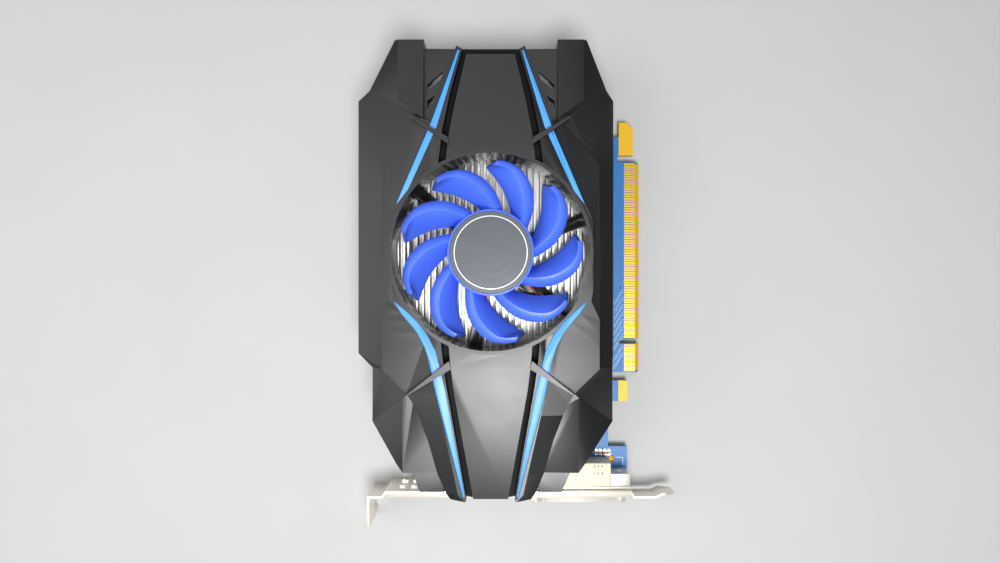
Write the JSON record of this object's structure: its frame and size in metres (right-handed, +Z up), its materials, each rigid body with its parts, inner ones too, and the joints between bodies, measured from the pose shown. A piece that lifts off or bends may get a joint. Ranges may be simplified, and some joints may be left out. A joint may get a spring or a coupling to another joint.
{
  "type": "graphics card",
  "caption": "Graphics card with a faceted black cover, blue inlaid stripes, a round cooling fan over a finned heatsink, a plated slot bracket with video sockets and an edge connector.",
  "frame": {"origin": "centre of the bounding box, on the plane the card lies on", "axes": "+X towards the contact edge, +Y away from the mounting bracket along the card, +Z up through the fan"},
  "size_m": [0.121, 0.1838, 0.0384],
  "materials": {
    "board": "blue solder mask over glass laminate, gold contacts",
    "black_plastic": "black moulded plastic with a fine texture",
    "blue_plastic": "royal blue moulded plastic, satin",
    "blue_stripe": "sky blue moulded plastic, satin",
    "label": "dark foil label with a turned look, left blank",
    "aluminium": "extruded aluminium, sawn fins",
    "copper": "machined copper",
    "nickel": "nickel plated steel sheet",
    "steel": "zinc plated steel",
    "brass": "sintered bronze",
    "chip": "black moulded epoxy",
    "green_laminate": "green solder mask over laminate",
    "silicon": "polished silicon",
    "cream": "cream moulded nylon",
    "magnet": "bonded ferrite",
    "winding": "enamelled copper wire",
    "canister": "drawn aluminium can",
    "wire": "insulated wires in a sleeve"
  },
  "bodies": {
    "card": {"circuit_board": "board", "gpu_substrate": "green_laminate", "gpu_die": "silicon", "bios_chip": "chip", "fan_socket": "cream", "fan_plug": "wire", "mounting_bracket": "nickel", "wide_socket_shell": "nickel", "wide_socket_body": "cream", "narrow_socket_shell": "nickel", "narrow_socket_body": "chip", "heatsink": "aluminium", "copper_slug": "copper", "fan_frame": "black_plastic", "motor_board": "green_laminate", "bearing_sleeve": "brass", "stator_core": "steel", "stator_winding": "winding", "fan_lead": "wire", "fan_cover": "black_plastic", "memory_chip_1": "chip", "cooler_screw_1": "steel", "cooler_spring_1": "steel", "cover_screw_1": "steel", "memory_chip_2": "chip", "cooler_screw_2": "steel", "cooler_spring_2": "steel", "cover_screw_2": "steel", "memory_chip_3": "chip", "cooler_screw_3": "steel", "cooler_spring_3": "steel", "cover_screw_3": "steel", "memory_chip_4": "chip", "cooler_screw_4": "steel", "cooler_spring_4": "steel", "cover_screw_4": "steel", "power_switch_1": "chip", "power_choke_1": "chip", "jack_nut_1": "nickel", "power_switch_2": "chip", "power_choke_2": "chip", "jack_nut_2": "nickel", "capacitor_1": "canister", "fan_screw_1": "steel", "capacitor_2": "canister", "fan_screw_2": "steel", "capacitor_3": "canister", "fan_screw_3": "steel", "stripe_far_left": "blue_stripe", "stripe_far_right": "blue_stripe", "stripe_near_left": "blue_stripe", "stripe_near_right": "blue_stripe"},
    "fan": {"fan_rotor": "blue_plastic", "rotor_cup": "steel", "magnet_ring": "magnet", "rotor_shaft": "steel", "hub_label": "label"}
  },
  "joints": [
    {"name": "fan_spin", "type": "hinge", "parent": "card", "child": "fan", "pos_m": [-0.0117, 0.0139, 0.0264], "axis": [0, 0, 1], "continuous": true}
  ]
}
